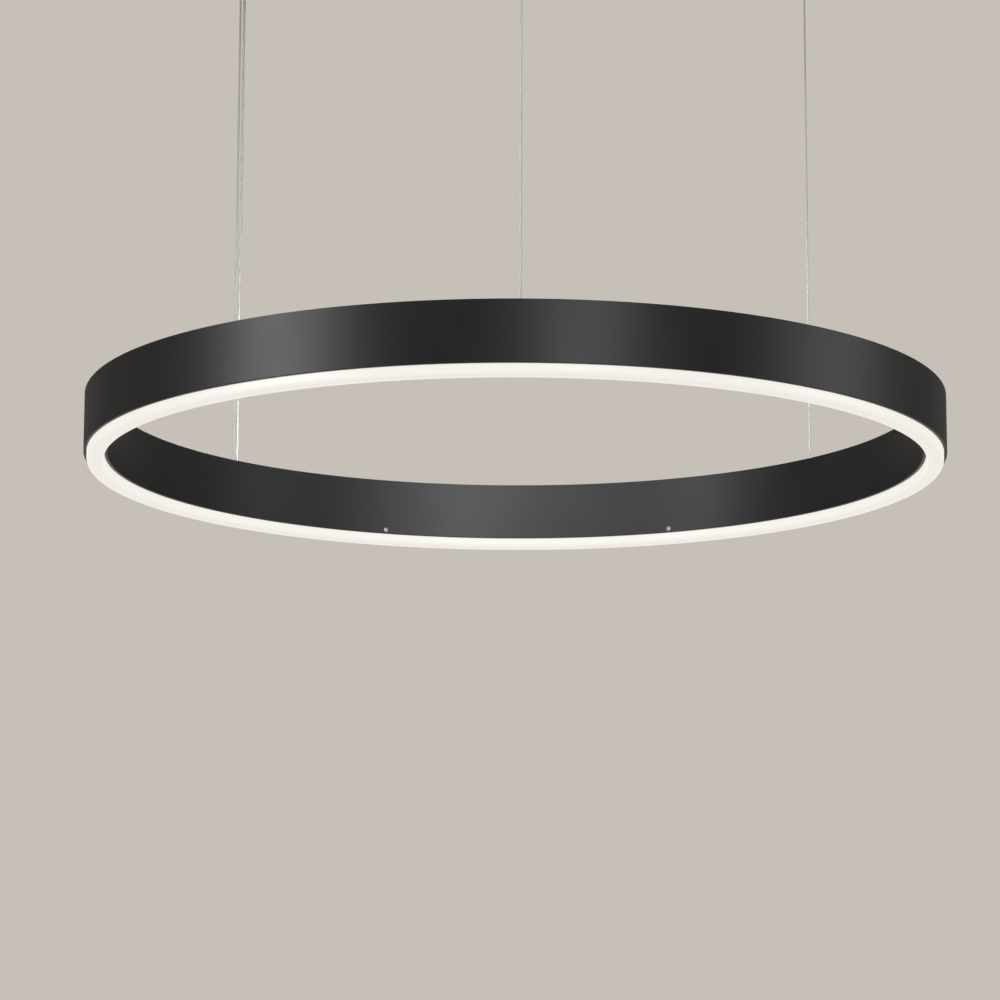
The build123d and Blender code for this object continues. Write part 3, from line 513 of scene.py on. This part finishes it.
# %% A round sheath on a route
def sheathed(name, points, diameter, finish):
    """The sheath as a mesh object, and the points along its middle."""
    route = route_curve(name + "_route", points)
    path = points_along(route)  # read before the bevel turns the line into a tube
    route.data.bevel_depth = diameter / 2
    route.data.bevel_resolution = 6
    route.data.use_fill_caps = True
    mesh = bpy.data.meshes.new_from_object(route)
    bpy.data.objects.remove(route)
    mesh.materials.clear()
    mesh.materials.append(finish)
    return link_object(name, mesh), path


def path_length(path):
    return sum(math.dist(a, b) for a, b in zip(path, path[1:]))


# %% [markdown]
# ## The feed cord
# A clear sheath of 2.8 mm holds two tinned cores, twisted slowly round each other. It hangs straight
# beside its cable, from the grommet in the ring to the terminal in the canopy.

# %% Lay the feed cord
CORD_FOOT, CORD_TOP = -568.45 * MM, -15.5 * MM
CORD_DIAMETER = 2.8 * MM
CORD_SPOT = spot(ANCHORS["left"]) + Vector((3.3 * MM, 7.8 * MM, 0))
cord_foot = CORD_SPOT + Vector((0, 0, CORD_FOOT))
cord_top = CORD_SPOT + Vector((0, 0, CORD_TOP))
cord_line = straight_up(cord_foot, cord_top)

cores = grow(
    "feed_cores",
    route_curve("core_route", cord_line),
    strands_tree,
    smooth_below=60,
    Finish=tinned,
    Strands=2,
    StrandRadius=0.42 * MM,
    CircleRadius=0.52 * MM,
    CoreRadius=0.08 * MM,
    Lay=38 * MM,
    Step=3 * MM,
)
feed_cord, cord_path = sheathed("feed_sheath", cord_line, CORD_DIAMETER, clear_pvc)
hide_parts("feed_cord")
for piece in (feed_cord, cores):
    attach(piece, "ceiling")
    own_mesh(piece)

# %% [markdown]
# ## The leads inside the canopy
# Two black sheathed leads join the driver and the terminal. They show when the canopy is lowered. Each
# runs straight out of the driver's wall and straight into the terminal. Between the walls it makes an
# S-bend of two equal arcs, which is the widest bend that this gap has room for.

# %% Lay the leads
LEAD_DIAMETER = 3.2 * MM
DRIVER_END, TERMINAL_END = (-12, -13.5), (6.5, -8.5)  # Y and Z of the two faces' holes
LEADS = {"input_lead": (-24, -5.5), "output_lead": (24, 10.5)}  # X at both ends
IN_WALL = 3 * MM
ARC_STEPS = 10
FORWARD = Vector((0, 1, 0))


def s_bend(start, end):
    """Points of two equal arcs that leave the start and reach the end along +Y."""
    across = end - start
    ahead = across.dot(FORWARD)
    sideways = across - ahead * FORWARD
    turn = 2 * math.atan2(sideways.length, ahead)
    bend = ahead / (2 * math.sin(turn))
    arc = []
    for step in range(ARC_STEPS + 1):
        angle = turn * step / ARC_STEPS
        arc.append(bend * (math.sin(angle) * FORWARD + (1 - math.cos(angle)) * sideways.normalized()))
    print("bends at a radius of", round(bend / LEAD_DIAMETER, 1), "diameters")
    return [start + offset for offset in arc] + [end - offset for offset in arc[-2::-1]]


canopy_axis = spot(ANCHORS["left"])
for name, (driver_x, terminal_x) in LEADS.items():
    start = canopy_axis + Vector((driver_x, *DRIVER_END)) * MM
    end = canopy_axis + Vector((terminal_x, *TERMINAL_END)) * MM
    turns = [start - IN_WALL * FORWARD, *s_bend(start, end), end + IN_WALL * FORWARD]
    path = [tuple(turn) for turn in turns]
    lead = sheathed(name, path, LEAD_DIAMETER, black_rubber)[0]
    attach(lead, "ceiling")
    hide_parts("driver_leads")
    print(name, round(path_length(path), 4), "m long")

# %% [markdown]
# ## Swept rings
# A ring's shape follows a rule: one section, carried round a circle. The tree below does just that for
# the diffuser. With its rows raised and sunk by turns, like a chessboard, the same sweep becomes the
# knurling that gives a hand its hold on a small round part.

# %% The tree that sweeps a section round a circle
sweep_tree, made = new_tree(
    "swept_ring",
    Radius=("Float", 1.0),
    Segments=("Int", 360),
    SectionPoints=("Int", 1),
    Knurl=("Float", 0.0),
    Place=("Vector", (0, 0, 0)),
    Finish=("Material", None),
)
circle = add(
    sweep_tree,
    "GeometryNodeCurvePrimitiveCircle",
    inputs={"Resolution": made["Segments"], "Radius": made["Radius"]},
)
swept = add(
    sweep_tree,
    "GeometryNodeCurveToMesh",
    inputs={"Curve": circle.outputs["Curve"], "Profile Curve": made["Geometry"]},
)
number = add(sweep_tree, "GeometryNodeInputIndex").outputs["Index"]


def whole(operation, first, second):
    """One step of arithmetic with whole numbers."""
    step = add(sweep_tree, "FunctionNodeIntegerMath", {"operation": operation}, {0: first, 1: second})
    return step.outputs[0]


row = whole("MODULO", number, made["SectionPoints"])
column = whole("DIVIDE_FLOOR", number, made["SectionPoints"])
raised = whole("MODULO", whole("ADD", row, column), 2)
FIRST_KNURL_ROW = 3  # the two inner corners and the outer edge rows stay plain
above_edge = add(
    sweep_tree, "ShaderNodeMath", {"operation": "GREATER_THAN"}, {0: row, 1: FIRST_KNURL_ROW - 0.5}
)
last_row = whole("SUBTRACT", made["SectionPoints"], 1)
below_edge = add(sweep_tree, "ShaderNodeMath", {"operation": "LESS_THAN"}, {0: row, 1: last_row})
height = made["Knurl"]
for factor in (raised, above_edge.outputs[0], below_edge.outputs[0]):
    height = add(sweep_tree, "ShaderNodeMath", {"operation": "MULTIPLY"}, {0: height, 1: factor}).outputs[0]
out_flat = add(
    sweep_tree,
    "ShaderNodeVectorMath",
    {"operation": "MULTIPLY"},
    {0: add(sweep_tree, "GeometryNodeInputPosition").outputs[0], 1: (1, 1, 0)},
)
outward = add(sweep_tree, "ShaderNodeVectorMath", {"operation": "NORMALIZE"}, {0: out_flat.outputs[0]})
push = add(
    sweep_tree, "ShaderNodeVectorMath", {"operation": "SCALE"}, {0: outward.outputs[0], "Scale": height}
)
knurled = add(
    sweep_tree,
    "GeometryNodeSetPosition",
    inputs={"Geometry": swept.outputs["Mesh"], "Offset": push.outputs[0]},
)
# The shorter diagonal of a quad joins its two sunk corners, so every raised corner becomes a pyramid.
split = add(sweep_tree, "GeometryNodeTriangulate", inputs={"Mesh": knurled.outputs["Geometry"]})
placed = add(
    sweep_tree,
    "GeometryNodeTransform",
    inputs={"Geometry": split.outputs["Mesh"], "Translation": made["Place"]},
)
close_tree(sweep_tree, placed.outputs["Geometry"], made["Finish"])


# %% Sections, drawn as closed outlines
def section_curve(name, outline):
    """A closed outline. X points away from the axis, and Y down, as the sweep carries it."""
    data = bpy.data.curves.new(name, "CURVE")
    data.dimensions = "3D"
    spline = data.splines.new("POLY")
    spline.points.add(len(outline) - 1)
    for point, (across, height) in zip(spline.points, outline):
        point.co = (across, -height, 0, 1)
    spline.use_cyclic_u = True
    return link_object(name, data)


def corner(across, height, radius, start, end, steps=6):
    """Points of a round corner from one angle to another, in degrees."""
    turns = [math.radians(start + (end - start) * step / steps) for step in range(steps + 1)]
    return [(across + radius * math.cos(turn), height + radius * math.sin(turn)) for turn in turns]


# %% [markdown]
# ## The diffuser
# The opal cover is an extruded U, rolled with the ring. Its legs clip between the housing's feet, each
# with a barb, and its rounded floor hangs 9.5 mm below the housing, so the band glows sideways too.

# %% Sweep the diffuser
DROP, LEG = 9.5 * MM, 9.4 * MM
EDGE = 4 * MM
SIDE_WALL, FLOOR = 1.6 * MM, 2.2 * MM
BARB, BARB_FOOT = 0.7 * MM, 8.2 * MM
inner_corner = corner(BAND_HALF_WIDTH - EDGE, EDGE - DROP, EDGE - SIDE_WALL, 0, -90)
half_section = [
    *corner(BAND_HALF_WIDTH - EDGE, EDGE - DROP, EDGE, -90, 0),
    (BAND_HALF_WIDTH, BARB_FOOT),
    (BAND_HALF_WIDTH + BARB, BARB_FOOT),
    (BAND_HALF_WIDTH, LEG),
    (BAND_HALF_WIDTH - SIDE_WALL, LEG),
    # The floor is thicker than the sides, so it cuts the inner corner short.
    *((across, max(height, FLOOR - DROP)) for across, height in inner_corner),
]
section = half_section + [(-across, height) for across, height in reversed(half_section)]
diffuser = grow(
    "diffuser_cover",
    section_curve("diffuser_section", section[::-1]),
    sweep_tree,
    smooth_below=50,
    Radius=MID_RADIUS,
    SectionPoints=len(section),
    Place=(0, 0, RING_BOTTOM),
    Finish=opal,
)
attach(diffuser, "ring")
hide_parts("diffuser")

# %% [markdown]
# ## Knurled bands on the grippers
# A gripper is a nickel-plated barrel that locks on the cable by itself. To let the ring down, a hand
# holds the barrel and pushes its nozzle up, so the lower barrel is knurled.

# %% Sweep the knurled bands
BARREL_RADIUS = 5 * MM
KNURL_TOP, KNURL_FOOT = -26.8 * MM, -32.2 * MM  # from the barrel's top
KNURL_ROWS, KNURL_COLUMNS, KNURL_HEIGHT = 13, 64, 0.22 * MM
SUNK = 0.3 * MM  # how far the band's inner side lies under the barrel's surface
KNURL_BASE = BARREL_RADIUS + 0.01 * MM  # just proud of the barrel
knurl_section = [(-SUNK, KNURL_FOOT), (-SUNK, KNURL_TOP)]
for step in range(KNURL_ROWS):
    knurl_section.append((0, KNURL_TOP + (KNURL_FOOT - KNURL_TOP) * step / (KNURL_ROWS - 1)))
for side, azimuth in ANCHORS.items():
    band = grow(
        f"knurl_{side}",
        section_curve(f"knurl_section_{side}", knurl_section),
        sweep_tree,
        smooth_below=1,  # every small pyramid keeps its flat faces
        Radius=KNURL_BASE,
        Segments=KNURL_COLUMNS,
        SectionPoints=len(knurl_section),
        Knurl=KNURL_HEIGHT,
        Place=tuple(spot(azimuth, height=GRIPPER_TOPS[side])),
        Finish=nickel,
    )
    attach(band, "ceiling")

# %% [markdown]
# ## The diffuser's screws
# Four domed screws hold the diffuser's inner leg, and two of them catch the light in the photograph. The
# tree joins a shank, a head and a dome, cuts a cross into it, and sets one on each point, facing the
# ring's axis. Every screw stops at its own angle, so a seeded random turn is added.

# %% The tree that sets the screws
screw_tree, made = new_tree(
    "set_screws",
    HeadRadius=("Float", 2.5 * MM),
    HeadHeight=("Float", 1.5 * MM),
    ShankRadius=("Float", 1.2 * MM),
    ShankLength=("Float", 5.4 * MM),
    Seed=("Int", 4),
    Finish=("Material", None),
)


def moved(shape, lift, scale=(1, 1, 1)):
    """The shape, lifted along Z and scaled."""
    place = add(screw_tree, "ShaderNodeCombineXYZ", inputs={"Z": lift})
    set_up = add(
        screw_tree,
        "GeometryNodeTransform",
        inputs={"Geometry": shape, "Translation": place.outputs[0], "Scale": scale},
    )
    return set_up.outputs[0]


def times(value, factor):
    return add(screw_tree, "ShaderNodeMath", {"operation": "MULTIPLY"}, {0: value, 1: factor}).outputs[0]


RIM = 0.5  # the straight rim's height, as a share of the head's
DOME = 0.3  # the dome's height, as a share of the head's radius
SHANK_LIFT = -0.49  # a little less than half its length, so that the shank overlaps the head
HEAD_SIDES, DOME_RINGS, SHANK_SIDES = 40, 20, 24
rim = times(made["HeadHeight"], RIM)
head = add(
    screw_tree,
    "GeometryNodeMeshCylinder",
    inputs={"Vertices": HEAD_SIDES, "Radius": made["HeadRadius"], "Depth": rim},
)
dome = add(
    screw_tree,
    "GeometryNodeMeshUVSphere",
    inputs={"Segments": HEAD_SIDES, "Rings": DOME_RINGS, "Radius": made["HeadRadius"]},
)
shank = add(
    screw_tree,
    "GeometryNodeMeshCylinder",
    inputs={"Vertices": SHANK_SIDES, "Radius": made["ShankRadius"], "Depth": made["ShankLength"]},
)
solid = add(screw_tree, "GeometryNodeMeshBoolean", {"operation": "UNION", "solver": "EXACT"})
for shape in (
    moved(head.outputs["Mesh"], times(rim, 0.5)),
    moved(dome.outputs["Mesh"], rim, (1, 1, DOME)),
    moved(shank.outputs["Mesh"], times(made["ShankLength"], SHANK_LIFT)),
):
    screw_tree.links.new(shape, solid.inputs["Mesh 2"])
cut = add(
    screw_tree,
    "GeometryNodeMeshBoolean",
    {"operation": "DIFFERENCE", "solver": "EXACT"},
    {"Mesh 1": solid.outputs["Mesh"]},
)
CROSS = (3 * MM, 0.6 * MM, 1.4 * MM)  # length and width of the recess, and the cutter's depth
for size in (CROSS, (CROSS[1], CROSS[0], CROSS[2])):
    bar = add(screw_tree, "GeometryNodeMeshCube", inputs={"Size": size})
    screw_tree.links.new(moved(bar.outputs["Mesh"], made["HeadHeight"]), cut.inputs["Mesh 2"])
to_axis = add(
    screw_tree,
    "ShaderNodeVectorMath",
    {"operation": "MULTIPLY"},
    {0: add(screw_tree, "GeometryNodeInputPosition").outputs[0], 1: (-1, -1, 0)},
)
facing = add(
    screw_tree, "FunctionNodeAlignRotationToVector", {"axis": "Z"}, {"Vector": to_axis.outputs[0]}
)
chance = add(
    screw_tree,
    "FunctionNodeRandomValue",
    {"data_type": "FLOAT"},
    {"Max": math.pi, "Seed": made["Seed"]},
)
spin = add(screw_tree, "ShaderNodeCombineXYZ", inputs={"Z": chance.outputs["Value"]})
turned_screw = add(
    screw_tree,
    "FunctionNodeRotateRotation",
    {"rotation_space": "LOCAL"},
    {"Rotation": facing.outputs[0], "Rotate By": spin.outputs[0]},
)
screws = add(
    screw_tree,
    "GeometryNodeInstanceOnPoints",
    inputs={
        "Points": made["Geometry"],
        "Instance": cut.outputs["Mesh"],
        "Rotation": turned_screw.outputs["Rotation"],
    },
)
close_tree(screw_tree, screws.outputs["Instances"], made["Finish"])


# %% Set the diffuser's screws
def marks(name, places):
    """Loose points, for a tree to set something on."""
    mesh = bpy.data.meshes.new(name)
    mesh.from_pydata([tuple(place) for place in places], [], [])
    return link_object(name, mesh)


SCREW_AZIMUTHS = (65.7, 110.3, -114.3, -69.7)
SCREW_HEIGHT = RING_BOTTOM + 3.4 * MM
CLEAR_OF_WALL = 0.02 * MM  # the flat head just clears the curved wall
screw_places = [spot(azimuth, INNER_RADIUS - CLEAR_OF_WALL, SCREW_HEIGHT) for azimuth in SCREW_AZIMUTHS]
screw_marks = marks("screw_marks", screw_places)
# The heads take the zinc painted darker: painted shade that dims their glint.
diffuser_screws = grow("domed_screws", screw_marks, screw_tree, smooth_below=35, Finish=zinc_painted_darker)
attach(diffuser_screws, "ring")
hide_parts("diffuser_screws")

# %% [markdown]
# ## The gripper springs
# In each gripper a fine wire spring holds the balls down in their cone. Pushing the nozzle up by 2 mm
# shortens it.

# %% The tree that winds a spring
COIL_STEPS, WIRE_SIDES = 24, 8  # steps in one turn, and the wire's own

spring_tree, made = new_tree(
    "wound_spring",
    Turns=("Float", 6.0),
    Radius=("Float", 1.85 * MM),
    Length=("Float", 12.32 * MM),
    Wire=("Float", 0.22 * MM),
    Finish=("Material", None),
)
coil = add(
    spring_tree,
    "GeometryNodeCurveSpiral",
    inputs={
        "Resolution": COIL_STEPS,
        "Rotations": made["Turns"],
        "Start Radius": made["Radius"],
        "End Radius": made["Radius"],
        "Height": made["Length"],
    },
)
wire = add(
    spring_tree,
    "GeometryNodeCurvePrimitiveCircle",
    inputs={"Resolution": WIRE_SIDES, "Radius": made["Wire"]},
)
wound = add(
    spring_tree,
    "GeometryNodeCurveToMesh",
    inputs={"Curve": coil.outputs["Curve"], "Profile Curve": wire.outputs["Curve"], "Fill Caps": True},
)
springs = add(
    spring_tree,
    "GeometryNodeInstanceOnPoints",
    inputs={"Points": made["Geometry"], "Instance": wound.outputs["Mesh"]},
)
close_tree(spring_tree, springs.outputs["Instances"], made["Finish"])

# %% Wind the springs
SPRING_FOOT, SPRING_SEAT = -17.56 * MM, -5 * MM  # from the barrel's top
spring_length = SPRING_SEAT - SPRING_FOOT
for side, azimuth in ANCHORS.items():
    seat = spot(azimuth, height=GRIPPER_TOPS[side] + SPRING_SEAT)
    foot = seat - Vector((0, 0, spring_length))
    mark = marks(f"spring_mark_{side}", [foot])
    spring = grow(f"spring_{side}", mark, spring_tree, smooth_below=60, Finish=stainless)
    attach(spring, "ceiling")
    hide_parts(f"gripper_spring_{side}")
    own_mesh(spring)

# %% [markdown]
# ## The stage
# A pale floor lies a room's height below the ceiling, and can only be seen from above. The world is pale
# to the camera and through clear plastic, a darker shade of that in whatever mirrors it, and otherwise an
# even, nearly white light from all sides. Large soft lamps stand where the photograph's windows must have
# been, judging by the highlights on the ring. Others stand above it, behind it and near the floor, for
# the sides that the photograph doesn't show. The one behind is high up, because at the ring's left tip the
# inner wall mirrors whatever stands behind it at the ring's own height. A narrow one stands in for the
# band's glow on the far inner wall.

# %% Floor
FLOOR_HEIGHT = -2.4
FLOOR_REACH = 30
floor_mesh = bpy.data.meshes.new("floor")
corners = [(x, y, FLOOR_HEIGHT) for x, y in ((-1, -1), (1, -1), (1, 1), (-1, 1))]
floor_mesh.from_pydata([(x * FLOOR_REACH, y * FLOOR_REACH, z) for x, y, z in corners], [], [(0, 1, 2, 3)])
floor = link_object("floor", floor_mesh)
PALE = "#C6C0B8"
FLOOR_ROUGHNESS = 0.9
floor_paint = bpy.data.materials.new("matt_floor_paint")
floor_paint.use_nodes = True
floor_tree = floor_paint.node_tree
floor_shader = floor_tree.nodes["Principled BSDF"]
floor_shader.inputs["Base Color"].default_value = hex_colour(PALE)
floor_shader.inputs["Roughness"].default_value = FLOOR_ROUGHNESS
from_below = add(floor_tree, "ShaderNodeNewGeometry").outputs["Backfacing"]
clear = add(floor_tree, "ShaderNodeBsdfTransparent")
one_sided = add(
    floor_tree,
    "ShaderNodeMixShader",
    inputs={0: from_below, 1: floor_shader.outputs["BSDF"], 2: clear.outputs["BSDF"]},
)
floor_tree.links.new(one_sided.outputs["Shader"], floor_tree.nodes["Material Output"].inputs["Surface"])
floor_mesh.materials.append(floor_paint)

# %% World
AMBIENT = 0.8
DAYLIGHT = "#FFFDFA"
MIRRORED = 0.38  # how bright the pale room looks in the black and metal surfaces
world = bpy.data.worlds.new("studio")
bpy.context.scene.world = world
world.use_nodes = True
world_tree = world.node_tree
world_tree.nodes.clear()
ray = add(world_tree, "ShaderNodeLightPath")
seen = add(
    world_tree,
    "ShaderNodeMath",
    {"operation": "MAXIMUM"},
    {0: ray.outputs["Is Camera Ray"], 1: ray.outputs["Is Transmission Ray"]},
)
even = add(world_tree, "ShaderNodeBackground", inputs={"Color": hex_colour(DAYLIGHT), "Strength": AMBIENT})
mirrored = add(world_tree, "ShaderNodeBackground", inputs={"Color": hex_colour(PALE), "Strength": MIRRORED})
pale = add(world_tree, "ShaderNodeBackground", inputs={"Color": hex_colour(PALE), "Strength": 1.0})
lit = add(
    world_tree,
    "ShaderNodeMixShader",
    inputs={
        0: ray.outputs["Is Glossy Ray"],
        1: even.outputs["Background"],
        2: mirrored.outputs["Background"],
    },
)
sky = add(
    world_tree,
    "ShaderNodeMixShader",
    inputs={0: seen.outputs["Value"], 1: lit.outputs["Shader"], 2: pale.outputs["Background"]},
)
add(world_tree, "ShaderNodeOutputWorld", inputs={"Surface": sky.outputs["Shader"]})

# %% Lamps
LAMPS = {
    # name: place, aim, width, height, spread in degrees, watts
    "window_left": ((-1.53, -1.04, -0.25), (-0.3, -0.45, -0.6), 0.8, 0.8, 50, 2.45),
    "window_front": ((0.72, -2.48, -0.09), (0.06, -0.38, -0.6), 0.8, 0.8, 120, 9.5),
    "window_right": ((1.79, -0.37, -0.25), (0.35, -0.35, -0.6), 1.1, 0.8, 60, 1.15),
    "glow_across": ((0.03, -0.15, -0.48), (0.0, 0.38, -0.6), 0.64, 0.12, 150, 1.85),
    "overhead": ((0.0, 0.0, 2.6), (0.0, 0.0, -0.5), 3.0, 3.0, 180, 34),
    "window_back": ((0.5, 2.5, 1.7), (0.0, 0.38, -0.6), 0.8, 0.8, 120, 12),
    "floor_bounce": ((0.0, -1.6, -2.3), (0.0, 0.2, 0.0), 1.6, 1.2, 180, 14),
}
for name, (place, aim, width, height, spread, watts) in LAMPS.items():
    data = bpy.data.lights.new(name, "AREA")
    data.shape = "RECTANGLE"
    data.size, data.size_y, data.energy = width, height, watts
    data.spread = math.radians(spread)
    lamp = link_object(name, data)
    lamp.location = place
    lamp.rotation_euler = (Vector(aim) - Vector(place)).to_track_quat("-Z", "Y").to_euler()
    lamp.visible_camera = False

bpy.context.scene.view_settings.view_transform = "Standard"
